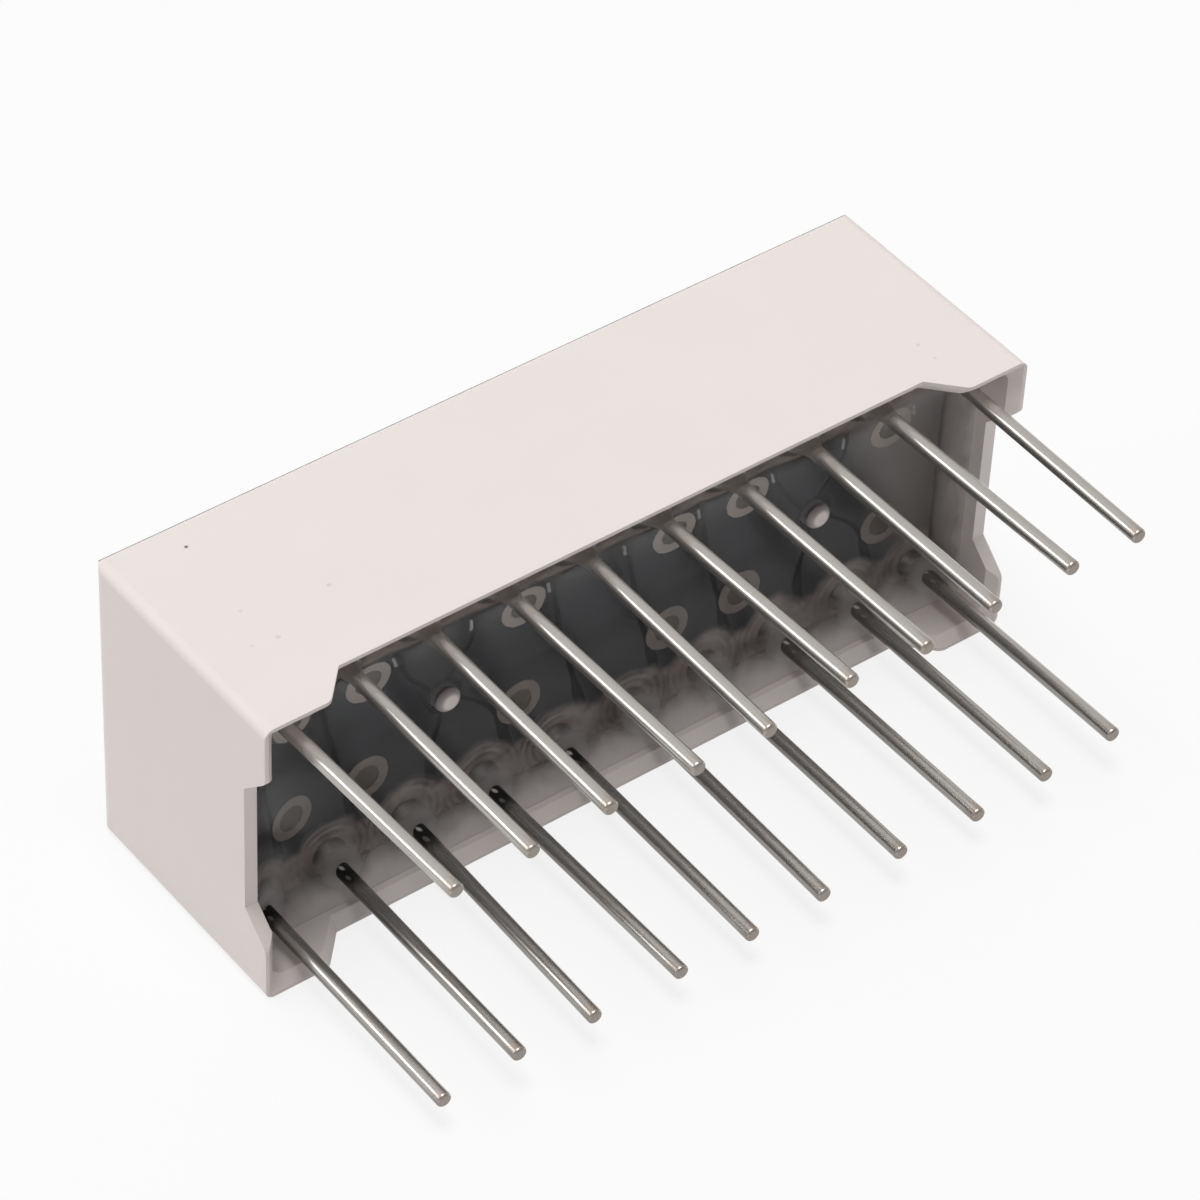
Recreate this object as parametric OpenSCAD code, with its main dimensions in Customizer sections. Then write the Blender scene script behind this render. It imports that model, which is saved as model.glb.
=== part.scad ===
// Ten-segment LED bar graph in a dual-in-line package, lying on one long wall.
// X runs along the row of segments, +Y points out of the lit face and the pins point along -Y.
// The origin is the centre of the pin grid, on the plane of the four corner feet.
// All sizes are in millimetres.

/* [Grid] */
// Number of light segments, which is also the number of pins in each row
segments = 10; // [4:1:14]
// Pitch of the segments and of the pins along a row
pitch = 2.54; // [2.4:0.01:3]
// Distance between the two rows of pins
row_spacing = 7.62; // [7:0.01:12]

/* [Housing] */
// Amount by which the housing is shorter than its grid, so that units stack end to end
stacking_gap = 0.1; // [0:0.05:0.3]
// Distance from a row of pins to the outside of the long wall beside it
row_margin = 1.14; // [1.05:0.01:2]
// Depth of the housing from its feet to its lit face
housing_depth = 7.9; // [7:0.1:12]
// Thickness of the walls around the open back
wall = 0.4; // [0.3:0.01:0.46]
// Width of the flat rim that the sloping lead-in leaves around the open back
rim_width = 0.12; // [0.08:0.01:0.2]
// Radius of the edges between the end walls and the lit face
end_radius = 0.45; // [0.2:0.05:0.8]
// Radius of the other outer edges
edge_radius = 0.3; // [0.05:0.05:0.35]
// Radius of the corners inside the open back
inner_radius = 0.35; // [0.2:0.05:0.5]

/* [Feet] */
// Length of a corner foot along a long wall
foot_length = 2.05; // [1:0.05:3]
// Length of a corner foot along an end wall
foot_width = 1.85; // [1:0.05:2.5]
// Height of the feet above the edge between them
foot_height = 0.95; // [0.4:0.05:1.1]
// Run of the sloping flank of a foot
foot_flank = 0.9; // [0.3:0.05:1.2]
// Radius of the rounded heel of a foot
foot_radius = 0.35; // [0.1:0.05:0.5]

/* [Reflector wells] */
// Distance from the lit face to the circuit board
reflector_depth = 4.05; // [3:0.05:4.6]
// Width of a lit segment at the face
segment_width = 1.52; // [1:0.01:2]
// Length of a lit segment at the face
segment_length = 5.08; // [4:0.01:5.6]
// Width of a well where it meets the board
throat_width = 1.1; // [0.9:0.05:1.3]
// Length of a well where it meets the board
throat_length = 3.6; // [2.8:0.05:4]

/* [Locating pegs] */
// Diameter of a peg
peg_diameter = 0.8; // [0.6:0.05:1]
// Height of a peg above the back of the board
peg_proud = 0.6; // [0.2:0.05:0.8]
// Clearance around a peg in its hole
peg_clearance = 0.08; // [0.04:0.01:0.15]
// Depth of a peg's root in the rib that carries it
peg_root = 0.5; // [0.2:0.1:1]
// Radius of the rounded edge of a peg's tip
peg_tip_radius = 0.2; // [0.04:0.01:0.25]

/* [Circuit board] */
// Thickness of the laminate
board_thickness = 1; // [0.6:0.05:1.2]
// Gap between the board and the walls
board_gap = 0.15; // [0.05:0.01:0.17]
// Radius of the corners of the laminate
board_corner = 0.5; // [0.4:0.05:0.6]
// Thickness of the plated copper on both faces
copper = 0.05; // [0.03:0.01:0.1]
// Diameter of a pin's solder land
pad_diameter = 1.08; // [0.9:0.02:1.12]
// Outside diameter of a bare ring land
ring_diameter = 1.45; // [1:0.05:1.6]
// Width of the copper of a ring land
ring_width = 0.3; // [0.15:0.05:0.4]
// Distance of a row of ring lands from the line halfway between the rows
ring_offset = 1.83; // [1.2:0.01:1.9]
// Height of that line above the middle of the board
ring_shift = 0.17; // [0:0.01:0.2]

/* [Pins] */
// Diameter of the free length of a pin, with its tin
pin_diameter = 0.45; // [0.35:0.01:0.55]
// Thickness of the tin, which ends level with the feet
tin_thickness = 0.01; // [0.005:0.005:0.02]
// Length of a pin beyond the feet
pin_length = 6.35; // [3:0.05:10]
// Bevel left around the cut end of a pin
pin_bevel = 0.05; // [0.02:0.01:0.1]
// Gap around a pin in its plated hole, filled with solder
pin_hole_gap = 0.06; // [0.04:0.01:0.1]
// Height of the solder cone on the back of the board
solder_height = 0.3; // [0.1:0.05:0.5]
// Wall of the solder cone at its tip
solder_wall = 0.03; // [0.02:0.01:0.05]

/* [Dice and wires] */
// Side of a square LED die
die_size = 0.3; // [0.2:0.02:0.4]
// Thickness of a die
die_height = 0.2; // [0.1:0.02:0.3]
// Margin of a land around its die or its wire
land_margin = 0.15; // [0.1:0.05:0.2]
// Distance along the well from the die to the far end of its wire
wire_span = 0.8; // [0.7:0.05:1]
// Diameter of the bond wire, drawn thicker than the real one
wire_diameter = 0.06; // [0.04:0.01:0.08]

/* [Resin] */
// Depth of the clear resin over the middle of the board
resin_cover = 0.45; // [0.3:0.05:0.6]
// Depth of the dish that the resin forms between the rows of pins
resin_sink = 0.65; // [0.3:0.05:0.7]
// Height that the resin creeps up the walls
wall_meniscus = 0.3; // [0.1:0.02:0.4]
// Height that the resin creeps up a pin
pin_meniscus = 0.13; // [0.05:0.01:0.2]
// Thickness of the resin where its creep ends
resin_lip = 0.03; // [0.02:0.01:0.05]
// Width of the level strip that is left around the dish
dish_margin = 0.12; // [0.05:0.01:0.2]

/* [Hidden] */
$fn = 48;
cut = 1;
housing_length = segments * pitch - stacking_gap;
housing_width = row_spacing + 2 * row_margin;
cavity_length = housing_length - 2 * wall;
cavity_width = housing_width - 2 * wall;
board_length = cavity_length - 2 * board_gap;
board_width = cavity_width - 2 * board_gap;

face_y = housing_depth;
board_front_y = face_y - reflector_depth;
board_back_y = board_front_y - board_thickness;
resin_y = board_back_y - resin_cover - resin_sink;
pad_y = board_back_y - copper;
land_y = board_front_y + copper;
die_top_y = land_y + die_height;

// The lead-in takes the rest of the wall at 45 degrees.
// The end rounding stays clear of the last segment.
lead_in = wall - rim_width;
end_margin = (housing_length - (segments - 1) * pitch - segment_width) / 2;
end_round = min(end_radius, end_margin);

// The tinned free length of a pin, and the bare wire at its root
pin_radius = pin_diameter / 2;
wire_radius = pin_radius - tin_thickness;

// The resin's hollow beside a wall and its collar around a pin share the gap between them
pin_to_wall = row_margin - wall - wire_radius - 3 * resin_lip;
wall_creep = min(wall_meniscus, 0.9 * pin_to_wall);
pin_creep = min(pin_meniscus, pin_to_wall - wall_creep);

// Two ribs between wells carry the pegs, off centre so that the board fits one way round only
peg_ribs = [floor(segments * 0.3), floor(segments * 0.8)];
// The ring lands lie behind the other ribs but the middle one, in two rows on either side of the pegs
middle_rib = floor(segments / 2);
ring_ribs = [for (k = [1 : segments - 1])
             if (k != peg_ribs[0] && k != peg_ribs[1] && k != middle_rib) k];
ring_rows = [ring_shift - ring_offset, ring_shift + ring_offset];
rows = [-row_spacing / 2, row_spacing / 2];

function segment_x(i) = (i - (segments + 1) / 2) * pitch;
function rib_x(k) = segment_x(k) + pitch / 2;
function pin_x(i) = i <= segments ? segment_x(i) : segment_x(2 * segments + 1 - i);
function pin_z(i) = i <= segments ? rows[0] : rows[1];
function numbered(name, i) = str(name, i < 10 ? "_0" : "_", i);
function arc(centre, radius, from, to, steps = 6) =
    [for (s = [0 : steps]) centre + radius * [cos(from + (to - from) * s / steps),
                                              sin(from + (to - from) * s / steps)]];

pin_names = [for (i = [1 : 2 * segments]) numbered("pin", i)];
die_names = [for (i = [1 : segments]) numbered("led_die", i)];
bar_names = [for (i = [1 : segments]) numbered("light_bar", i)];

// Turns a shape drawn around Z so that it stands around Y
module along_y() {
    rotate([-90, 0, 0]) children();
}

// Block from y = from to y = to with the four edges along Y rounded
module rounded_prism(length, width, radius, from, to) {
    depth = to - from;
    translate([-length / 2 + radius, from, -width / 2])
        cube([length - 2 * radius, depth, width]);
    translate([-length / 2, from, -width / 2 + radius])
        cube([length, depth, width - 2 * radius]);
    for (x = [-1, 1], z = [-1, 1])
        translate([x * (length / 2 - radius), from, z * (width / 2 - radius)])
            along_y() cylinder(r = radius, h = depth);
}

// Rounded prism whose edges around the far end, at y = to, are rounded as well
module domed_prism(length, width, radius, from, to) {
    shoulder = to - radius;
    half_length = length / 2 - radius;
    half_width = width / 2 - radius;
    rounded_prism(length, width, radius, from, shoulder);
    translate([-half_length, from, -half_width])
        cube([2 * half_length, to - from, 2 * half_width]);
    for (z = [-1, 1])
        translate([-half_length, shoulder, z * half_width])
            rotate([0, 90, 0]) cylinder(r = radius, h = 2 * half_length);
    for (x = [-1, 1])
        translate([x * half_length, shoulder, -half_width])
            cylinder(r = radius, h = 2 * half_width);
    for (x = [-1, 1], z = [-1, 1])
        translate([x * half_length, shoulder, z * half_width])
            sphere(r = radius);
}

// Outline of the gap between two feet of a wall: the heels are rounded and the flanks slope.
// Below 1, flatness shrinks its height.
module foot_gap(wall_length, foot, flatness = 1) {
    heel = wall_length / 2 - foot;
    floor_half = heel - foot_flank;
    slope = atan2(foot_height, foot_flank);
    reach = foot_radius * tan(slope / 2);
    right = concat([[heel + reach, -cut]],
                   arc([heel + reach, foot_radius], foot_radius, 270, 270 - slope),
                   [[floor_half, foot_height]]);
    left = [for (k = [len(right) - 1 : -1 : 0]) [-right[k][0], right[k][1]]];
    polygon([for (p = concat(right, left)) [p[0], p[1] * flatness]]);
}

// The gap between two feet of the wall on the +Z side, and the lead-in along the inner edge that it leaves
module wall_gap(wall_length, foot, cavity_half) {
    reach = cavity_half + wall;
    translate([0, 0, -reach - cut])
        linear_extrude(2 * (reach + cut)) foot_gap(wall_length, foot);
    for (side = [0, 1]) mirror([0, 0, side]) intersection() {
        translate([-wall_length / 2, -cut, cavity_half - lead_in])
            cube([wall_length, housing_depth, wall + lead_in]);
        translate([0, cavity_half + lead_in, 0]) rotate([45, 0, 0]) translate([0, 0, -reach])
            linear_extrude(4 * reach) foot_gap(wall_length, foot, flatness = cos(45));
    }
}

// Funnel that leads the board into the open back, level with the feet
module mouth() {
    module taper(cavity) {
        outer = cavity / 2 + lead_in + cut;
        inner = cavity / 2 - inner_radius;
        polygon([[-outer, -cut], [outer, -cut],
                 [inner, lead_in + inner_radius], [-inner, lead_in + inner_radius]]);
    }
    intersection() {
        translate([0, 0, -housing_width]) linear_extrude(2 * housing_width) taper(cavity_length);
        rotate([0, 90, 0]) translate([0, 0, -housing_length])
            linear_extrude(2 * housing_length) taper(cavity_width);
    }
}

// Outside of the moulding, as seen from above, from the end and from the back
module outer_form() {
    module rounded_face(length, radius) {
        translate([-length / 2, 0]) square([length, face_y - radius]);
        translate([-length / 2 + radius, 0]) square([length - 2 * radius, face_y]);
        for (x = [-1, 1]) translate([x * (length / 2 - radius), face_y - radius]) circle(radius);
    }
    intersection() {
        rounded_prism(housing_length, housing_width, edge_radius, 0, face_y);
        translate([0, 0, -housing_width])
            linear_extrude(2 * housing_width) rounded_face(housing_length, end_round);
        rotate([0, 90, 0]) translate([0, 0, -housing_length])
            linear_extrude(2 * housing_length) rounded_face(housing_width, edge_radius);
    }
}

// Four-sided funnel of one well, from the board to the lit face
module well(past = 0) {
    module taper(throat, mouth) {
        slope = (mouth - throat) / 2 / reflector_depth;
        near = throat / 2 - slope * past;
        far = mouth / 2 + slope * past;
        polygon([[-near, board_front_y - past], [near, board_front_y - past],
                 [far, face_y + past], [-far, face_y + past]]);
    }
    intersection() {
        translate([0, 0, -segment_length])
            linear_extrude(2 * segment_length) taper(throat_width, segment_width);
        rotate([0, 90, 0]) translate([0, 0, -segment_width])
            linear_extrude(2 * segment_width) taper(throat_length, segment_length);
    }
}

// White moulded reflector: a thin-walled tray on four corner feet, with ten funnels through its
// thick front and two pegs that locate the circuit board
module housing() {
    color("#e7dfdd") {
        difference() {
            outer_form();
            rounded_prism(cavity_length, cavity_width, inner_radius, -cut, board_front_y);
            mouth();
            wall_gap(housing_length, foot_length, cavity_width / 2);
            rotate([0, 90, 0]) wall_gap(housing_width, foot_width, cavity_length / 2);
            for (i = [1 : segments]) translate([segment_x(i), 0, 0]) well(past = 0.2);
        }
        for (k = peg_ribs) translate([rib_x(k), 0, 0]) peg();
    }
}

// Peg with a rounded tip, standing on the web and reaching through the board
module peg() {
    tip_y = board_back_y - peg_proud;
    height = board_front_y + peg_root - tip_y;
    translate([0, tip_y, 0]) along_y() rotate_extrude() {
        translate([0, peg_tip_radius]) square([peg_diameter / 2, height - peg_tip_radius]);
        square([peg_diameter / 2 - peg_tip_radius, peg_tip_radius * 2]);
        intersection() {
            translate([peg_diameter / 2 - peg_tip_radius, peg_tip_radius]) circle(peg_tip_radius);
            square(peg_diameter / 2);
        }
    }
}

// Laminate outline without its holes
module board_blank() {
    rounded_prism(board_length, board_width, board_corner, board_back_y, board_front_y);
}

// Dark laminate that carries the dice on its front and the pins through its edges
module circuit_board() {
    hole_radius = wire_radius + pin_hole_gap;
    color("#38393c") difference() {
        board_blank();
        for (i = [1 : 2 * segments])
            translate([pin_x(i), board_back_y - cut, pin_z(i)])
                along_y() cylinder(r = hole_radius, h = board_thickness + 2 * cut);
        for (k = peg_ribs)
            translate([rib_x(k), board_back_y - cut, 0])
                along_y() cylinder(r = peg_diameter / 2 + peg_clearance, h = board_thickness + 2 * cut);
    }
}

// Flat copper ring on the back of the board
module copper_ring(outer, inner) {
    along_y() rotate_extrude() translate([inner, 0]) square([outer - inner, copper]);
}

// Copper lands that the pins are soldered to
module pin_pads() {
    color("#69605d")
        for (i = [1 : 2 * segments])
            translate([pin_x(i), pad_y, pin_z(i)])
                copper_ring(pad_diameter / 2, wire_radius + pin_hole_gap);
}

// Bare ring lands between the pins
module ring_lands() {
    color("#69605d")
        for (k = ring_ribs, z = ring_rows)
            translate([rib_x(k), pad_y, z]) ring_land();
}

module ring_land() {
    copper_ring(ring_diameter / 2, ring_diameter / 2 - ring_width);
}

// Front copper: under each die a square land, and beside it the land that its wire runs to
module die_lands() {
    color("#b98a4c")
        for (i = [1 : segments]) translate([segment_x(i), 0, 0]) lands();
}

module lands() {
    die_land = die_size + 2 * land_margin;
    wire_land = wire_diameter + 2 * land_margin;
    translate([-die_land / 2, board_front_y, -die_land / 2])
        cube([die_land, copper, die_land]);
    translate([-wire_land / 2, board_front_y, wire_span - wire_land / 2])
        cube([wire_land, copper, wire_land]);
}

// Solder that fills each plated hole and rises in a hollow cone against the pin
module solder_joints() {
    color("#a9a8a6")
        for (i = [1 : 2 * segments])
            translate([pin_x(i), 0, pin_z(i)]) solder_joint();
}

module solder_joint() {
    inner = wire_radius;
    hole = inner + pin_hole_gap;
    foot = min(pad_diameter / 2, hole + solder_height);
    end = solder_height + copper + board_thickness;
    translate([0, pad_y - solder_height, 0]) along_y() rotate_extrude()
        polygon([[inner, 0], [inner + solder_wall, 0], [foot, solder_height], [hole, solder_height],
                 [hole, end], [inner, end]]);
}

// Straight wire from its cut end to the front of the board, tinned where it stands free
module pin(i) {
    color("#c4c1bd") translate([pin_x(i), 0, pin_z(i)]) along_y() rotate_extrude()
        polygon([[0, -pin_length], [pin_radius - pin_bevel, -pin_length],
                 [pin_radius, pin_bevel - pin_length], [pin_radius, 0], [wire_radius, 0],
                 [wire_radius, board_front_y], [0, board_front_y]]);
}

// Square light-emitting chip on its land
module led_die(i) {
    color("#d8c37a") translate([segment_x(i) - die_size / 2, land_y, -die_size / 2])
        cube([die_size, die_height, die_size]);
}

// Gold wires that loop from the top of each die to the land beside it
module bond_wires() {
    color("#e0b24a")
        for (i = [1 : segments]) translate([segment_x(i), 0, 0]) bond_wire();
}

module bond_wire() {
    radius = wire_diameter / 2;
    translate([0, die_top_y, wire_span / 2]) rotate([0, 90, 0])
        rotate_extrude(angle = 180, $fn = 24) translate([wire_span / 2, 0]) circle(radius, $fn = 8);
    translate([0, land_y, wire_span]) along_y() cylinder(r = radius, h = die_height, $fn = 8);
}

// Milky resin cast in one well around its die and its wire
module light_bar(i) {
    color("#f4f1ea") translate([segment_x(i), 0, 0]) difference() {
        well();
        lands();
        translate([-die_size / 2, land_y, -die_size / 2]) cube([die_size, die_height, die_size]);
        bond_wire();
    }
}

// Clear resin poured in from the back: it seals the board in, creeps up the walls and the pins, and
// sets with a dish between the rows of pins
module potting() {
    color("#8f9499", 0.35) {
        difference() {
            poured_resin();
            board_blank();
            for (i = [1 : 2 * segments]) translate([pin_x(i), 0, pin_z(i)]) pin_root();
            for (k = ring_ribs, z = ring_rows) translate([rib_x(k), pad_y, z]) ring_land();
            for (k = peg_ribs) translate([rib_x(k), 0, 0]) peg();
            dish();
        }
        for (k = peg_ribs)
            translate([rib_x(k), board_back_y, 0]) along_y() rotate_extrude()
                translate([peg_diameter / 2, 0]) square([peg_clearance, board_thickness]);
    }
}

// The whole pour before anything stands in it, with its surface hollowed beside the walls
module poured_resin() {
    creep_y = resin_y - wall_creep;
    difference() {
        rounded_prism(cavity_length, cavity_width, inner_radius, creep_y, board_front_y);
        domed_prism(cavity_length - 2 * resin_lip, cavity_width - 2 * resin_lip,
                    wall_creep, creep_y - cut, resin_y);
    }
    for (i = [1 : 2 * segments]) translate([pin_x(i), resin_y, pin_z(i)]) pin_collar();
}

// Hollow with one radius along its sides and ends, clear of the solder lands and of the creep on the walls
module dish() {
    half_width = (row_spacing - pad_diameter) / 2 - dish_margin;
    half_length = cavity_length / 2 - wall_creep - dish_margin;
    radius = (half_width * half_width + resin_sink * resin_sink) / (2 * resin_sink);
    axis_y = resin_y + resin_sink - radius;
    straight = half_length - half_width;
    intersection() {
        translate([-half_length, axis_y, 0]) rotate([0, 90, 0]) cylinder(r = radius, h = 2 * half_length);
        translate([0, axis_y, -half_width]) linear_extrude(2 * half_width) {
            translate([-straight, 0]) square([2 * straight, radius]);
            for (x = [-1, 1]) translate([x * straight, 0]) circle(radius);
        }
        translate([-half_length, resin_y - cut, -half_width])
            cube([2 * half_length, cut + 2 * resin_sink, 2 * half_width]);
    }
}

// Resin drawn up around a pin in a hollow cone
module pin_collar() {
    outer = wire_radius + resin_lip + pin_creep;
    translate([0, resin_lip - pin_creep, 0]) along_y() rotate_extrude()
        difference() {
            square([outer, 2 * pin_creep]);
            translate([outer, 0]) circle(pin_creep);
        }
}

// All that stands in the resin around one pin: its land, its solder cone and the wire itself
module pin_root() {
    translate([0, pad_y, 0]) along_y() cylinder(r = pad_diameter / 2, h = copper);
    solder_joint();
    translate([0, -cut, 0]) along_y() cylinder(r = wire_radius, h = board_back_y + cut);
}

housing();
circuit_board();
pin_pads();
ring_lands();
die_lands();
solder_joints();
bond_wires();
potting();
for (i = [1 : 2 * segments]) pin(i);
for (i = [1 : segments]) led_die(i);
for (i = [1 : segments]) light_bar(i);
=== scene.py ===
import math

import bmesh
import bpy
from mathutils import Matrix, Vector


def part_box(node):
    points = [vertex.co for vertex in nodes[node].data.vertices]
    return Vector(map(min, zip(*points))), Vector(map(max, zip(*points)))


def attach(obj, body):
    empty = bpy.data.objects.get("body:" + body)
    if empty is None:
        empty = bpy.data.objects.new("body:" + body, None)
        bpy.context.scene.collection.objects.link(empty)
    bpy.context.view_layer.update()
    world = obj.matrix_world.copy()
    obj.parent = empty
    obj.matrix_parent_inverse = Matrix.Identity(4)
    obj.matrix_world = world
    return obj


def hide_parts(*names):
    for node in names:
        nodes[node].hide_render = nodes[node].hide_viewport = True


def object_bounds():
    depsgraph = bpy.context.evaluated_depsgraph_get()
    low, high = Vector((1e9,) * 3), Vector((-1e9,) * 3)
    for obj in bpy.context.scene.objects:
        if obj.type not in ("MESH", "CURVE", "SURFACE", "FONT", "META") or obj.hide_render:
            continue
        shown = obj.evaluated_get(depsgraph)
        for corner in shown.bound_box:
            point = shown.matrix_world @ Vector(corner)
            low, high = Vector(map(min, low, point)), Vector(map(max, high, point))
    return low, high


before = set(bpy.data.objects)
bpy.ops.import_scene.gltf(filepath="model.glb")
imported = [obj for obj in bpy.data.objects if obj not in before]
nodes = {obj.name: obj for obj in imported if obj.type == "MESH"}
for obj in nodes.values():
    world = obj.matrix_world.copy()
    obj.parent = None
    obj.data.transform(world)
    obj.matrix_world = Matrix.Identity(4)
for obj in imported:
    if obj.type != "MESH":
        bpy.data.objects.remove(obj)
cad_low, cad_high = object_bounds()


# Housing
# One white thermoplastic moulding: a thin-walled tray on four corner feet whose thick front holds ten
# reflector wells. Its satin skin shows the fine grain of the mould, and the lit face is printed dark.
class Field:
    """A socket of a node tree. Arithmetic on it adds Math nodes, so a formula reads as one."""

    def __init__(self, tree, socket=None):
        self.tree = tree
        self.socket = socket

    def node(self, kind, sockets=(), out=0, items=0, **settings):
        """Add any other node: its settings first, then the values or links of its sockets."""
        made = self.tree.nodes.new(kind)
        for name, value in settings.items():
            setattr(made, name, value)
        for _ in range(2, items):
            made.index_switch_items.new()
        for key, value in dict(sockets).items():
            if isinstance(value, Field):
                self.tree.links.new(value.socket, made.inputs[key])
            else:
                made.inputs[key].default_value = value
        return Field(self.tree, made.outputs[out])

    def maths(self, operation, *values):
        return self.node("ShaderNodeMath", enumerate(values), operation=operation)

    def __add__(self, other):
        return self.maths("ADD", self, other)

    def __sub__(self, other):
        return self.maths("SUBTRACT", self, other)

    def __rsub__(self, other):
        return self.maths("SUBTRACT", other, self)

    def __mul__(self, other):
        return self.maths("MULTIPLY", self, other)

    def __truediv__(self, other):
        return self.maths("DIVIDE", self, other)

    def __pow__(self, other):
        return self.maths("POWER", self, other)

    def __abs__(self):
        return self.maths("ABSOLUTE", self)

    __radd__ = __add__
    __rmul__ = __mul__


class Finish:
    """A material under construction: its Principled shader and its Object coordinates in millimetres."""

    def __init__(self, name, **constants):
        self.material = bpy.data.materials.new(name)
        self.material.use_nodes = True
        self.tree = self.material.node_tree
        self.shader = self.tree.nodes["Principled BSDF"]
        for socket, value in constants.items():
            self.shader.inputs[socket.replace("_", " ")].default_value = value
        metres = Field(self.tree).node("ShaderNodeTexCoord", out="Object")
        self.place = metres.node("ShaderNodeVectorMath", {0: metres, "Scale": 1000}, operation="SCALE")
        self.x, self.y, self.z = (
            metres.node("ShaderNodeSeparateXYZ", {0: self.place}, out=axis) for axis in "XYZ")

    def feed(self, socket, field):
        self.tree.links.new(field.socket, self.shader.inputs[socket])

    def noise(self, scale, detail=2, stretch=None):
        """Cloudy noise with so many cells to a millimetre, drawn out along an axis by stretch."""
        place = self.place
        if stretch:
            place = place.node("ShaderNodeVectorMath", {0: place, 1: stretch}, operation="MULTIPLY")
        return place.node("ShaderNodeTexNoise", {"Vector": place, "Scale": scale, "Detail": detail})

    def bump(self, height, depth, strength=1.0):
        """Feed the normal with a relief of so many millimetres."""
        self.feed("Normal", height.node("ShaderNodeBump", {
            "Height": height, "Distance": depth / 1000, "Strength": strength}))

    def surface(self, shader):
        """Let a mixed shader take the place of the plain one."""
        self.tree.links.new(shader.socket, self.tree.nodes["Material Output"].inputs["Surface"])


def rise(value, low, high):
    """0 below low, 1 above high and a smooth rise between them, or a fall where low is the higher."""
    return value.node("ShaderNodeMapRange", {0: value, 1: low, 2: high},
                      interpolation_type="SMOOTHSTEP")


def tint(factor, first, second):
    """The first colour where the factor is 0, the second where it is 1."""
    return factor.node("ShaderNodeMix", {0: factor, 6: first, 7: second}, out=2, data_type="RGBA")


def apart(across, along):
    """The distance of two points that lie so far apart along two axes."""
    return (across ** 2 + along ** 2) ** 0.5


def dress(finish, *names):
    """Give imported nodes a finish."""
    for name in names:
        nodes[name].data.materials.clear()
        nodes[name].data.materials.append(finish.material)


PLASTIC = (0.80, 0.745, 0.725, 1)
PLASTIC_SHADE = (0.775, 0.715, 0.695, 1)
PAINTED_PEG_SHADE = (0.33, 0.30, 0.295, 1)
PEG_RIBS = (-5.08, 7.62)
INK = (0.030, 0.030, 0.032, 1)
INK_FROM = 7.73
SPECK = (0.20, 0.17, 0.16, 1)
# Dust moulded into the top wall: its place, its radius and how dark it is
SPECKS = [(-10.38, 6.87, 0.075, 1.0), (-8.17, 3.55, 0.09, 0.2), (-10.59, 4.05, 0.08, 0.16),
          (-10.36, 2.70, 0.10, 0.18), (-11.09, 2.81, 0.07, 0.14), (10.57, 2.21, 0.09, 0.18),
          (10.60, 1.52, 0.07, 0.16)]

skin = Finish("white_plastic")
white = tint(skin.noise(0.35, 3), PLASTIC, PLASTIC_SHADE)
on_top_wall = rise(skin.z, 4.8, 4.9)
for speck_x, speck_y, speck_radius, darkness in SPECKS:
    off_speck = apart(skin.x - speck_x, skin.y - speck_y)
    mark = rise(off_speck, speck_radius, speck_radius * 0.4) * on_top_wall * darkness
    white = tint(mark, white, SPECK)
# Painted shade on each peg: its side and the rim of its tip are darker
for rib in PEG_RIBS:
    off_axis = apart(skin.x - rib, skin.z)
    shaded_shank = rise(off_axis, 0.5, 0.45) * rise(off_axis, 0.19, 0.32) * rise(skin.y, 3.2, 3.0)
    white = tint(0.85 * shaded_shank, white, PAINTED_PEG_SHADE)
ink_edge = INK_FROM + 0.02 * skin.noise(2.0)
printed = rise(skin.y - ink_edge, -0.01, 0.02)
skin.feed("Base Color", tint(printed, white, INK))
skin.feed("Roughness", 0.42 + 0.10 * skin.noise(6.0, 3))
skin.bump(skin.noise(14.0, 3), 0.004, 0.6)
dress(skin, "housing")


# Dice, front lands and bond wires
# Ten square chips glued to gold-plated copper lands on the front of the board, each joined to the land
# beside it by a looped gold wire. They are sealed in and hardly seen.
CHIP = (0.74, 0.62, 0.30, 1)
CHIP_SHADE = (0.60, 0.48, 0.22, 1)
GOLD = (0.80, 0.60, 0.28, 1)
GOLD_SHADE = (0.66, 0.48, 0.22, 1)
dice = [f"led_die_{i:02d}" for i in range(1, 11)]

chip = Finish("die", Roughness=0.3)
chip.feed("Base Color", tint(chip.noise(9.0), CHIP, CHIP_SHADE))
dress(chip, *dice)

plating = Finish("gold_plating", Metallic=1.0)
plating.feed("Base Color", tint(plating.noise(5.0), GOLD, GOLD_SHADE))
plating.feed("Roughness", 0.25 + 0.15 * plating.noise(12.0))
dress(plating, "die_lands", "bond_wires")


# Light bars
# Milky epoxy cast into the ten wells around the dice. It spreads the light, sets with a faint dish and
# lies level with the printed face.
MILK = (0.84, 0.82, 0.77, 1)
MILK_SHADE = (0.78, 0.76, 0.71, 1)
bars = [f"light_bar_{i:02d}" for i in range(1, 11)]

milk = Finish("milky_resin", Roughness=0.3, Coat_Weight=0.3, Coat_Roughness=0.12)
milk.feed("Base Color", tint(milk.noise(0.8, 3), MILK, MILK_SHADE))
milk.bump(milk.noise(1.2, 2), 0.02, 0.5)
dress(milk, *bars)


# Circuit board
# Glass laminate under dark solder mask, pushed onto the two pegs. The copper fields of the segments show
# through the mask as slate, with an etched gap between neighbours that swings in to the pegs.
RIB_PITCH = 2.54
WHOLE_RIBS = 100 * RIB_PITCH
RING_RIBS = (-10.16, -7.62, -2.54, 2.54, 5.08, 10.16)
RING_OFFSET = 1.83
RING_SHIFT = 0.17
PIN_ROW = 3.81
GAP_FROM = 0.87
GAP_SLANT = 0.23
GAP_TOP = 2.5
ARC_PITCH = 0.24
SLATE = (0.030, 0.030, 0.034, 1)
SLATE_BLUE = (0.041, 0.042, 0.053, 1)
SLATE_REFLECTION_LOW = (0.098, 0.095, 0.103, 1)
SLATE_SHADE_HIGH = (0.022, 0.0215, 0.024, 1)
ETCHED = (0.002, 0.002, 0.002, 1)
PALE_END_REFLECTION = (0.37, 0.335, 0.325, 1)
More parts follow.
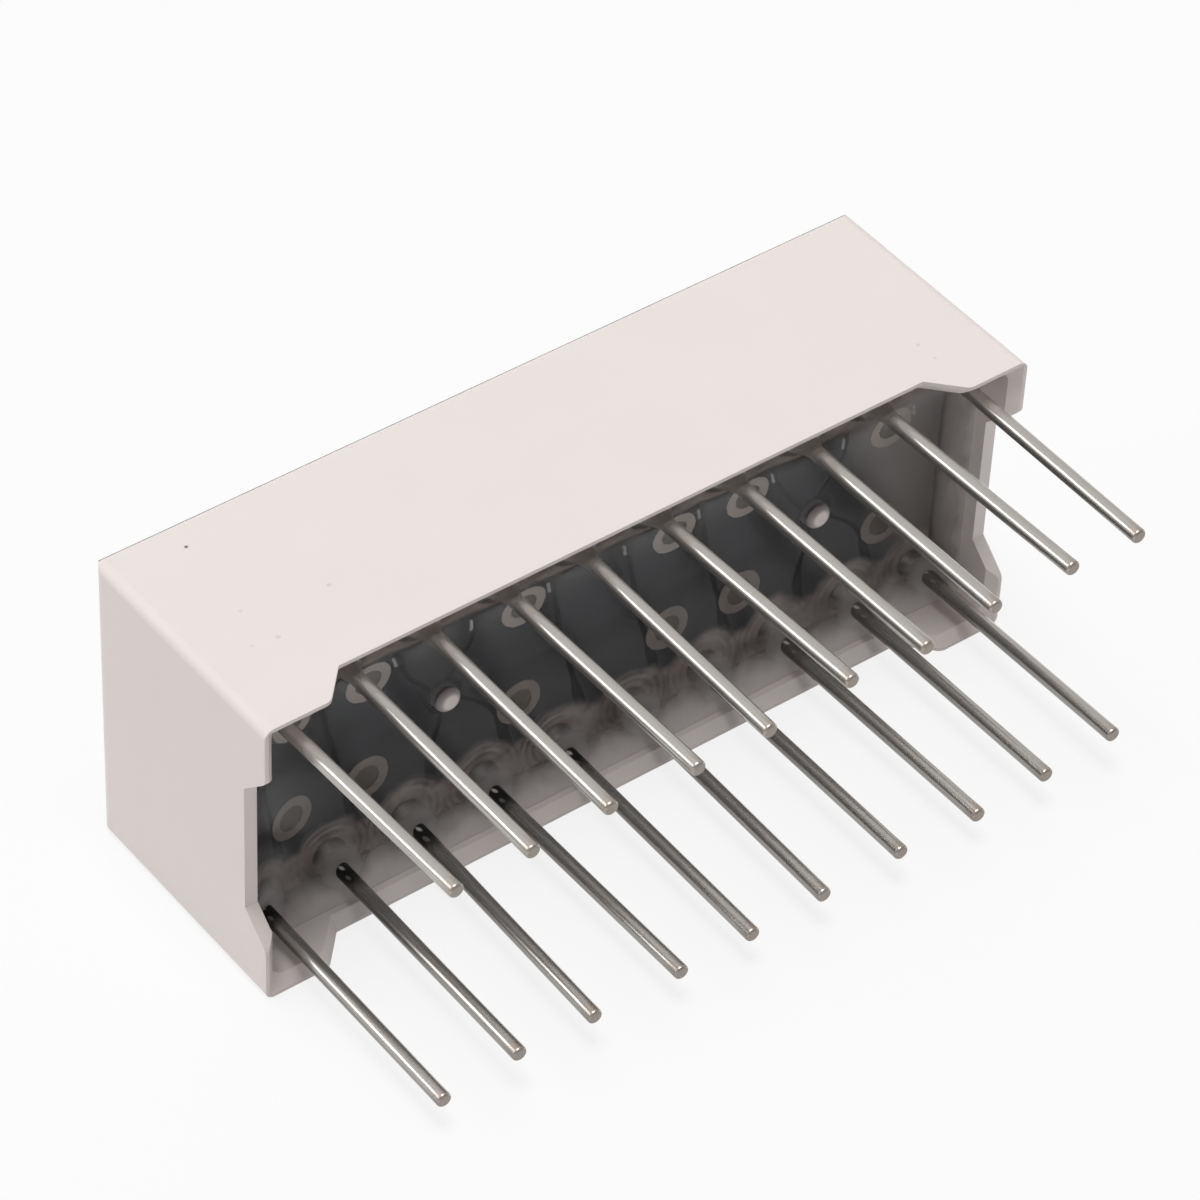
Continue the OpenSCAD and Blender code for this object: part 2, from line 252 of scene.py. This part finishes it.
PLUGGED = (0.19, 0.165, 0.143, 1)
MENISCUS_REFLECTION = (0.68, 0.60, 0.57, 1)
MENISCUS_REFLECTION_DARK = (0.44, 0.38, 0.36, 1)
STRIP_REFLECTION = (0.48, 0.415, 0.38, 1)
STRIP_REFLECTION_DARK = (0.27, 0.235, 0.22, 1)
GAP_GLINT = (0.60, 0.60, 0.60, 1)
COPPER = (0.36, 0.31, 0.28, 1)
COPPER_SHADE = (0.27, 0.23, 0.205, 1)
COPPER_LIT_UPPER = (0.50, 0.435, 0.395, 1)
SOLDER = (0.50, 0.49, 0.47, 1)
SOLDER_SHADE = (0.36, 0.34, 0.31, 1)


def bell(value, centre, width):
    """1 at the centre, falling off on both sides."""
    return value.maths("EXPONENT", 0 - ((value - centre) / width) ** 2)


def from_lower_pin(finish):
    """How far a point is from the axis of the nearest pin of the lower row."""
    beside_pin = finish.x + (WHOLE_RIBS + RIB_PITCH / 2)
    to_pin = beside_pin.maths("PINGPONG", beside_pin, RIB_PITCH / 2)
    return apart(to_pin, finish.z + PIN_ROW)


# The copper fields: slate with painted shade towards the top, and painted reflections that lighten it
# towards the bottom and pale the right end
mask = Finish("board_laminate", Roughness=0.5, Specular_IOR_Level=0.0)
board = tint(rise(mask.noise(0.45, 1), 0.38, 0.62), SLATE, SLATE_BLUE)
board = tint(rise(mask.z, 0.6, -2.4), board, SLATE_REFLECTION_LOW)
board = tint(rise(mask.z, 1.0, 2.8), board, SLATE_SHADE_HIGH)
board = tint(0.9 * rise(mask.x + 0.4 * mask.z, 8.8, 10.6), board, PALE_END_REFLECTION)

# The etched gaps: slanting lines a rib apart, bent towards the pegs and wider at their lower ends
bent = mask.x
for rib in PEG_RIBS:
    beside = mask.x - rib
    right = rise(beside, -0.05, 0.05)
    swing = 1.3 * right * bell(mask.z, 0.2, 1.1) - 0.95 * (1 - right) * bell(mask.z, -0.3, 1.4)
    bent = bent + swing * rise(abs(beside), 2.3, 1.7)
wander = 0.12 * (mask.noise(0.9) - 0.5)
lane = bent - GAP_FROM - GAP_SLANT * (GAP_TOP - mask.z) + wander + WHOLE_RIBS
off_gap = lane.maths("PINGPONG", lane, RIB_PITCH / 2)
widened = off_gap - 0.09 * rise(mask.z, -1.7, -2.5)
gap_ends = rise(mask.z, 2.85, 2.65) * rise(mask.z, -3.3, -2.9) * rise(mask.x, 10.3, 10.0)
etched = rise(widened, 0.12, 0.06) * gap_ends
board = tint(0.72 * etched, board, ETCHED)
for rib in PEG_RIBS:
    off_peg = apart(mask.x - rib, mask.z)
    board = tint(0.6 * rise(off_peg, 0.66, 0.58), board, ETCHED)
for rib in RING_RIBS:
    off_ring = apart(mask.x - rib, abs(mask.z - RING_SHIFT) - RING_OFFSET)
    board = tint(rise(off_ring, 0.52, 0.42), board, PLUGGED)

# Painted reflections of the resin where it climbs: a light margin below and around the lower pins, with
# faint arcs, and a light strip along the top
off_pin = from_lower_pin(mask) + 0.25 * (mask.noise(0.5, 1) - 0.5)
reflected_arcs = off_pin.maths("SINE", off_pin * (2 * math.pi / ARC_PITCH)) * 0.5 + 0.5
reflected_arcs = reflected_arcs * rise(off_pin, 0.60, 0.85) * rise(off_pin, 1.35, 1.25) * rise(mask.noise(0.8), 0.35, 0.65)
meniscus_reflection = tint(rise(mask.noise(1.1, 3), 0.40, 0.65), MENISCUS_REFLECTION, MENISCUS_REFLECTION_DARK)
meniscus_reflection = tint(reflected_arcs * (0.25 + 0.35 * rise(mask.x, 5, -2)), meniscus_reflection, ETCHED)
around = rise(off_pin + 0.5 * (mask.noise(1.0) - 0.5), 1.40, 0.85)
below = rise(mask.z, -3.0, -3.45)
board = tint(around.maths("MAXIMUM", around, below), board, meniscus_reflection)
strip = tint(rise(mask.noise(1.3), 0.35, 0.70), STRIP_REFLECTION, STRIP_REFLECTION_DARK)
board = tint(rise(mask.z + 0.45 * (mask.noise(0.8) - 0.5), 2.76, 3.1), board, strip)

# A painted glint at the upper end of each gap
glint_lane = lane.maths("PINGPONG", lane + 0.10, RIB_PITCH / 2)
gap_glint = rise(glint_lane, 0.06, 0.03) * rise(mask.z, 2.0, 2.1) * rise(mask.z, 2.6, 2.45)
board = tint(0.8 * gap_glint, board, GAP_GLINT)
mask.feed("Base Color", board)
dress(mask, "circuit_board")

copper = Finish("masked_copper", Roughness=0.4)
dull = tint(copper.noise(3.0), COPPER, COPPER_SHADE)
# Painted light: the lands of the upper row are lighter than those of the lower row
copper.feed("Base Color", tint(rise(copper.z, 0.5, 1.5), dull, COPPER_LIT_UPPER))
dress(copper, "pin_pads", "ring_lands")

solder = Finish("solder", Metallic=1.0, Roughness=0.35)
solder.feed("Base Color", tint(solder.noise(4.0), SOLDER, SOLDER_SHADE))
dress(solder, "solder_joints")


# Pins
# Twenty round steel wires, hot-dipped in bright tin where they stand free, soldered into the board and
# cropped to length. The crop leaves a flat end with a soft edge and a trace of brown.
def grow(name, tree, sizes):
    """Run a Geometry Nodes tree once and keep its result as a plain mesh at the origin."""
    carrier = bpy.data.objects.new(name, bpy.data.meshes.new(name))
    bpy.context.scene.collection.objects.link(carrier)
    rule = carrier.modifiers.new("rule", "NODES")
    rule.node_group = tree
    for item in tree.interface.items_tree:
        if item.in_out == "INPUT" and item.name in sizes:
            rule[item.identifier] = sizes[item.name]
    grown = carrier.evaluated_get(bpy.context.evaluated_depsgraph_get())
    mesh = bpy.data.meshes.new_from_object(grown)
    carrier.modifiers.clear()
    carrier.data = mesh
    return carrier


def new_rule(name, sizes):
    """A Geometry Nodes tree with named inputs, and those inputs as fields."""
    tree = bpy.data.node_groups.new(name, "GeometryNodeTree")
    for size, value in sizes.items():
        kind = "NodeSocketInt" if isinstance(value, int) else "NodeSocketFloat"
        tree.interface.new_socket(size, in_out="INPUT", socket_type=kind)
    tree.interface.new_socket("Mesh", in_out="OUTPUT", socket_type="NodeSocketGeometry")
    given = tree.nodes.new("NodeGroupInput")
    return tree, {size: Field(tree, given.outputs[size]) for size in sizes}


def end_rule(tree, geometry, material):
    """Close a tree: real geometry, its material and the way out."""
    real = geometry.node("GeometryNodeRealizeInstances", {0: geometry})
    dressed = real.node("GeometryNodeSetMaterial", {"Geometry": real, "Material": material})
    tree.links.new(dressed.socket, tree.nodes.new("NodeGroupOutput").inputs[0])


TIN = (0.74, 0.72, 0.69, 1)
TIN_STREAK = (0.60, 0.575, 0.545, 1)
TIP_BROWN = (0.46, 0.38, 0.32, 1)
CROPPED_STEEL = (0.36, 0.32, 0.29, 1)
UNDERSIDE_SHADE = (0.17, 0.162, 0.152, 1)
SHADED_SIDE = (-0.83, 0, -0.56)
ROOT_TIN = (0.62, 0.58, 0.54, 1)
ROOT_SHADE = (0.055, 0.052, 0.048, 1)
GLINT = (0.95, 0.94, 0.92, 1)
GLINT_RAISED = 0.19
# Two glints on the root of each lower pin: how far along it, how far aside, and how bright
GLINTS = ((1.76, 0.08, 0.8), (1.38, 0.14, 0.28))
# How far the handled pins stand off true at their tips, in millimetres along X and Z: a lower pin, then
# the upper pin over it, and so on from the left
BENDS = [(-0.01, -0.07), (0.19, -0.03), (-0.14, 0.15), (0.02, -0.04), (-0.22, 0.02), (-0.07, 0.07),
         (0.11, -0.06), (0.20, -0.14), (-0.03, -0.08), (-0.01, -0.11), (-0.13, -0.03), (0.14, 0.17),
         (0.00, 0.02), (0.16, -0.04), (0.21, -0.15), (-0.08, 0.17), (0.09, 0.00), (0.06, 0.14),
         (-0.04, 0.19), (-0.14, 0.06)]
STATIONS = 60
SIDES = 40
CAP_FACING = 0.98

pins = [f"pin_{i:02d}" for i in range(1, 21)]
first_low, first_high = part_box(pins[0])
other_row_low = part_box(pins[10])[0]
pin_radius = (first_high.x - first_low.x) / 2

tin = Finish("tinned_wire")
streaks = tin.noise(7.0, 3, stretch=(1, 0.08, 1))
tip = rise(tin.y + 0.5 * tin.noise(1.5), -5.45, -6.1)
cropped = rise(tin.y, -6.32, -6.34)
root = rise(tin.y + 0.4 * tin.noise(2.0), 1.0, 1.8)
lower = rise(tin.z, 0.5, -0.5)
# Painted shade: the roots of the lower pins are near black where they stand in the resin collar
shaded_root = lower * rise(tin.y + 0.5 * tin.noise(3.0), 0.9, 1.7) * (1 - 0.4 * rise(tin.x, 0, 9))
in_pitch = tin.x + WHOLE_RIBS
aside = in_pitch.maths("FLOORED_MODULO", in_pitch, RIB_PITCH) - RIB_PITCH / 2
glint = 0
for glint_y, glint_x, brightness in GLINTS:
    off_middle = aside + glint_x
    off_glint = (off_middle ** 2 + (tin.z + PIN_ROW - GLINT_RAISED) ** 2
                 + (0.55 * (tin.y - glint_y) + 0.5 * off_middle) ** 2) ** 0.5
    glint = glint + brightness * rise(off_glint + 0.10 * (tin.noise(1.1) - 0.5), 0.075, 0.025)
# Painted shade on the lower side of every pin, strongest on the lower row near the body: it stands for the
# shadowed floor that the tin reflects
outward = streaks.node("ShaderNodeTexCoord", out="Normal")
turned = outward.node("ShaderNodeVectorMath", {0: outward, 1: SHADED_SIDE}, out="Value",
                      operation="DOT_PRODUCT")
underside_shade = rise(turned, 0.15, 0.75) * (0.45 + lower * (0.25 + 0.25 * rise(tin.y, -4.5, -1.0)))
bright = tint(streaks, TIN, TIN_STREAK)
bright = tint(0.6 * tip, bright, TIP_BROWN)
bright = tint(cropped, bright, CROPPED_STEEL)
bright = tint(underside_shade, bright, UNDERSIDE_SHADE)
# A duller root where resin wets the wire; on the upper row it is also less metallic and shows pale, a
# painted reflection of the resin collar
bright = tint(0.7 * root, bright, ROOT_TIN)
bright = tint(shaded_root, bright, ROOT_SHADE)
tin.feed("Base Color", tint(glint, bright, GLINT))
tin.feed("Metallic", 0.85 - 0.85 * glint - 0.35 * root * (1 - lower))
tin.feed("Roughness", 0.16 + 0.12 * streaks + 0.10 * tip + 0.2 * root + 0.2 * cropped)
tin.bump(tin.noise(4.0, 2, stretch=(1, 0.22, 1)), 0.008, 0.5)

pin_sizes = {
    "Radius": pin_radius,
    "Length": -first_low.y - 0.000003,
    "Root": first_high.y,
    "Bevel": 0.00009,
    "Pitch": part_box(pins[1])[0].x - first_low.x,
    "Rows apart": other_row_low.z - first_low.z,
    "Per row": 10,
    "Bend from": 0.0017,
}
rule, given = new_rule("pin_rows", pin_sizes)

# One wire along Y, with its stations crowded at the cropped end, where its edge is rounded
line = given["Radius"].node("GeometryNodeCurvePrimitiveLine", {"End": (0, 1, 0)})
line = line.node("GeometryNodeResampleCurve", {"Curve": line, "Count": STATIONS})
along = line.node("GeometryNodeSplineParameter", out="Factor")
from_tip = (given["Length"] + given["Root"]) * along ** 3
spot = along.node("ShaderNodeCombineXYZ", {"Y": from_tip - given["Length"]})
wire = line.node("GeometryNodeSetPosition", {"Geometry": line, "Position": spot})
station = wire.node("ShaderNodeSeparateXYZ", {0: wire.node("GeometryNodeInputPosition")}, out="Y")
on_edge = (station + given["Length"]) / given["Bevel"]
short_of_edge = 1 - on_edge.maths("MINIMUM", on_edge, 1)
radius = given["Radius"] - given["Bevel"] * (1 - (1 - short_of_edge ** 2) ** 0.5)
ring = wire.node("GeometryNodeCurvePrimitiveCircle", {"Resolution": SIDES, "Radius": 1.0})
wire = wire.node("GeometryNodeCurveToMesh", {
    "Curve": wire, "Profile Curve": ring, "Scale": radius, "Fill Caps": True})
facing = wire.node("ShaderNodeSeparateXYZ", {0: wire.node("GeometryNodeInputNormal")}, out="Y")
round_side = facing.node("FunctionNodeCompare", {0: abs(facing), 1: CAP_FACING}, operation="LESS_THAN")
wire = wire.node("GeometryNodeSetShadeSmooth", {"Geometry": wire, "Selection": round_side})

# A wire in each hole, and its own bend from the resin outwards
holes = given["Pitch"].node("GeometryNodeMeshGrid", {
    "Size X": given["Pitch"] * (given["Per row"] - 1), "Size Y": given["Rows apart"],
    "Vertices X": given["Per row"], "Vertices Y": 2})
holes = holes.node("GeometryNodeTransform", {"Geometry": holes, "Rotation": (math.pi / 2, 0, 0)})
number = holes.node("GeometryNodeInputIndex")
bends = {1 + i: (x / 1000, 0, z / 1000) for i, (x, z) in enumerate(BENDS)}
bend = number.node("GeometryNodeIndexSwitch", {0: number, **bends}, items=len(BENDS), data_type="VECTOR")
row = holes.node("GeometryNodeInstanceOnPoints", {"Points": holes, "Instance": wire})
row = row.node("GeometryNodeStoreNamedAttribute", {"Geometry": row, "Name": "bend", "Value": bend},
               data_type="FLOAT_VECTOR", domain="INSTANCE")
row = row.node("GeometryNodeRealizeInstances", {0: row})
at = row.node("ShaderNodeSeparateXYZ", {0: row.node("GeometryNodeInputPosition")}, out="Y")
share = (given["Bend from"] - at) / (given["Bend from"] + given["Length"])
bend = row.node("GeometryNodeInputNamedAttribute", {"Name": "bend"}, data_type="FLOAT_VECTOR")
bend = bend.node("ShaderNodeVectorMath", {0: bend, "Scale": share.maths("MAXIMUM", share, 0)},
                 operation="SCALE")
row = row.node("GeometryNodeSetPosition", {"Geometry": row, "Offset": bend})
end_rule(rule, row, tin.material)
pin_rows = grow("pin_rows", rule, pin_sizes)
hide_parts(*pins)
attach(pin_rows, "root")


# Potting
# Clear epoxy poured over the board from the back. It wets plastic and wire, so it climbs the four walls and
# stands up around the pins, most of all the upper ones. Near the walls and the lower pins it is milky, and
# near the walls that film is also a painted reflection of the climbing resin.
RESIN_TINT = (0.95, 0.95, 0.95, 1)
RESIN_SHADE = (0.90, 0.91, 0.92, 1)
FILM = (0.42, 0.385, 0.375, 1)
FILM_AT_PIN = (0.27, 0.25, 0.242, 1)
FILM_AT_WALL = (0.62, 0.575, 0.56, 1)
END_WALL = 12.25
SIDE_WALL = 4.55
FILM_SHIFT = 0.40
LOWER_COLLAR = 0.15

clear = Finish("clear_resin", Base_Color=RESIN_TINT, Roughness=0.02, IOR=1.5,
               Transmission_Weight=1.0, Specular_Tint=(0.0, 0.0, 0.0, 1))
clear.bump(clear.noise(1.1, 1) + 0.8 * clear.noise(24.0, 0), 0.006, 1.0)
to_end = 2 * (END_WALL - abs(clear.x))
to_side = SIDE_WALL - abs(clear.z - FILM_SHIFT)
to_wall = to_end.maths("SMOOTH_MIN", to_end, to_side, 0.6) + 0.35 * (clear.noise(0.9) - 0.5)
cloudy = 0.85 * rise(to_wall + 0.9 * (clear.noise(1.3, 1) - 0.5), 1.4, -0.35) ** 1.5
off_pin = from_lower_pin(clear) + 0.3 * (clear.noise(1.6, 1) - 0.5)
around = rise(off_pin, 1.05, 0.30)
cloudy = cloudy.maths("MAXIMUM", cloudy, 0.88 * around)
haze = tint(around, FILM, FILM_AT_PIN)
# Lighter film at the walls: milky resin and a painted reflection of the walls
haze = tint(rise(to_wall, 0.45, -0.35), haze, FILM_AT_WALL)
glass = Field(clear.tree, clear.shader.outputs[0])
film = glass.node("ShaderNodeBsdfPrincipled", {"Base Color": haze, "Roughness": 0.35})
body = cloudy.node("ShaderNodeMixShader", {0: cloudy, 1: glass, 2: film})
lamp_ray = Field(clear.tree).node("ShaderNodeLightPath", out="Is Shadow Ray")
open_way = lamp_ray.node("ShaderNodeBsdfTransparent", {"Color": RESIN_SHADE})
clear.surface(lamp_ray.node("ShaderNodeMixShader", {0: lamp_ray, 1: body, 2: open_way}))

pot_low, pot_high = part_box("potting")
sunk = 0.00002
resin_sizes = {
    "Length": pot_high.x - pot_low.x,
    "Width": pot_high.z - pot_low.z,
    "Level": 0.00246,
    "Wall rise": 0.00103,
    "Wall reach": 0.00125,
    "Pin rise": 0.00022,
    "Pin reach": 0.00036,
    "Collar rise": 0.00036,
    "Collar reach": 0.00010,
    "Pin radius": pin_radius,
    "Pitch": pin_sizes["Pitch"],
    "Row": pin_sizes["Rows apart"] / 2,
    "Sunk": sunk,
    "Back": pot_high.y - sunk,
    "Cells long": 500,
    "Cells wide": 186,
}
rule, given = new_rule("resin_pour", resin_sizes)
sheet = given["Length"].node("GeometryNodeMeshGrid", {
    "Size X": given["Length"] + 2 * given["Sunk"], "Size Y": given["Width"] + 2 * given["Sunk"],
    "Vertices X": given["Cells long"], "Vertices Y": given["Cells wide"]})
sheet = sheet.node("GeometryNodeTransform", {"Geometry": sheet, "Rotation": (math.pi / 2, 0, 0)})
position = sheet.node("GeometryNodeInputPosition")
across, up = (position.node("ShaderNodeSeparateXYZ", {0: position}, out=axis) for axis in "XZ")


def creep(distance, reach):
    """How high resin still stands at a distance from what it wets, as a share of its height there."""
    return distance.maths("EXPONENT", (0 - distance) / reach)


end_creep = creep(given["Length"] / 2 - abs(across), given["Wall reach"])
side_creep = creep(given["Width"] / 2 - abs(up), given["Wall reach"])
wall_creep = (end_creep ** 3 + side_creep ** 3) ** (1 / 3)
turn = across * math.pi / given["Pitch"]
to_pin_x = given["Pitch"] / math.pi * turn.maths("COSINE", turn)
to_pin = apart(to_pin_x, abs(up) - given["Row"]) - given["Pin radius"]
to_pin = to_pin.maths("MAXIMUM", to_pin, 0)
pin_creep = given["Pin rise"] * creep(to_pin, given["Pin reach"])
pin_creep = pin_creep + given["Collar rise"] * creep(to_pin, given["Collar reach"])
wetted = LOWER_COLLAR + (1 - LOWER_COLLAR) * up.maths("GREATER_THAN", up, 0)
level = given["Level"] - given["Wall rise"] * wall_creep - wetted * pin_creep
spot = across.node("ShaderNodeCombineXYZ", {"X": across, "Y": level, "Z": up})
sheet = sheet.node("GeometryNodeSetPosition", {"Geometry": sheet, "Position": spot})
sheet = sheet.node("GeometryNodeSetShadeSmooth", {"Geometry": sheet})
end_rule(rule, sheet, clear.material)
pour = grow("potting_pour", rule, resin_sizes)

# The sheet becomes a solid: a skirt down to the reflector and a flat underside
solid = bmesh.new()
solid.from_mesh(pour.data)
rim = [edge for edge in solid.edges if edge.is_boundary]
skirt = bmesh.ops.extrude_edge_only(solid, edges=rim)["geom"]
for vertex in skirt:
    if isinstance(vertex, bmesh.types.BMVert):
        vertex.co.y = resin_sizes["Back"]
bmesh.ops.contextual_create(solid, geom=[edge for edge in solid.edges if edge.is_boundary])
for face in solid.faces:
    face.smooth = len(face.verts) == 4 and abs(face.normal.y) > 0.2
bmesh.ops.recalc_face_normals(solid, faces=solid.faces)
solid.to_mesh(pour.data)
solid.free()
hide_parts("potting")
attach(pour, "root")


# Stage
# A white sheet of paper that the part lies on, wide enough to fill every view. It shows nearly white to
# the camera and in the metal and resin, and keeps a faint shadow of the part.
PAPER = (0.83, 0.83, 0.83, 1)
PAPER_SHADE = (0.81, 0.81, 0.81, 1)
PAPER_GLOW = 0.82
PAPER_RADIUS = 1.5

floor_mesh = bpy.data.meshes.new("floor")
floor_build = bmesh.new()
bmesh.ops.create_circle(floor_build, cap_ends=True, radius=PAPER_RADIUS, segments=64,
                        matrix=Matrix.Translation((0, 0, cad_low.z)))
floor_build.to_mesh(floor_mesh)
floor_build.free()
floor = bpy.data.objects.new("floor", floor_mesh)
bpy.context.scene.collection.objects.link(floor)

paper = Finish("white_paper", Roughness=0.9, Specular_IOR_Level=0.0)
paper.feed("Base Color", tint(paper.noise(0.02), PAPER, PAPER_SHADE))
diffuse = Field(paper.tree, paper.shader.outputs[0])
seen, mirrored, through = (diffuse.node("ShaderNodeLightPath", out=ray) for ray in (
    "Is Camera Ray", "Is Glossy Ray", "Is Transmission Ray"))
shown = seen + mirrored + through
glow = diffuse.node("ShaderNodeEmission", {"Color": (1, 1, 1, 1), "Strength": 1.0})
paper.surface(diffuse.node("ShaderNodeMixShader", {
    0: PAPER_GLOW * shown.maths("MINIMUM", shown, 1), 1: diffuse, 2: glow}))
floor_mesh.materials.append(paper.material)


# Lamps
# A pale room that is brighter behind the part, a wide softbox overhead, and a strip behind the left end
# that draws the bright line along each pin. No lamp faces the open back, so it lies in soft shade.
ROOM_TINT = (1.0, 0.985, 0.98, 1)
ROOM_FRONT = 0.27
ROOM_BEHIND = 0.26
LAMP_DISTANCE = 1.2

world = bpy.data.worlds.new("room")
bpy.context.scene.world = world
world.use_nodes = True
background = world.node_tree.nodes["Background"]
background.inputs["Color"].default_value = ROOM_TINT
sky = Field(world.node_tree).node("ShaderNodeTexCoord", out="Generated")
behind = sky.node("ShaderNodeSeparateXYZ", {0: sky}, out="Y")
strength = ROOM_FRONT + ROOM_BEHIND * rise(behind, -0.6, 0.5)
world.node_tree.links.new(strength.socket, background.inputs["Strength"])


def softbox(name, direction, width, height, power):
    """A rectangular lamp that faces the part and that no camera sees."""
    light = bpy.data.lights.new(name, "AREA")
    light.shape = "RECTANGLE"
    light.size = width
    light.size_y = height
    light.energy = power
    lamp = bpy.data.objects.new(name, light)
    lamp.location = direction.normalized() * LAMP_DISTANCE
    lamp.rotation_euler = direction.to_track_quat("Z", "X").to_euler()
    lamp.visible_camera = False
    bpy.context.scene.collection.objects.link(lamp)


softbox("top_softbox", Vector((-0.08, 0.02, 1.0)), width=0.50, height=0.50, power=8.6)
softbox("pin_strip", Vector((-0.665, 0.565, 0.488)), width=0.36, height=0.80, power=2.3)


# Camera
# A long lens that looks down on the open back and the left end. Its place and turn were worked out from
# the pin grid.
LENS = 163.135
SENSOR = 36
STAND = (-0.067788, -0.080473, 0.101259)
HEADING = -39.27
LOOKS_DOWN = 43.145
ROLL = 2.993

camera_data = bpy.data.cameras.new("camera")
camera_data.lens = LENS
camera_data.sensor_width = SENSOR
camera_data.clip_start = 0.005
camera = bpy.data.objects.new("camera", camera_data)
turn_aside = Matrix.Rotation(math.radians(HEADING), 4, "Z")
tilt = Matrix.Rotation(math.radians(90 - LOOKS_DOWN), 4, "X")
roll = Matrix.Rotation(math.radians(ROLL), 4, "Z")
camera.matrix_world = Matrix.Translation(STAND) @ turn_aside @ tilt @ roll
bpy.context.scene.collection.objects.link(camera)
bpy.context.scene.camera = camera
bpy.context.scene.view_settings.view_transform = "Standard"
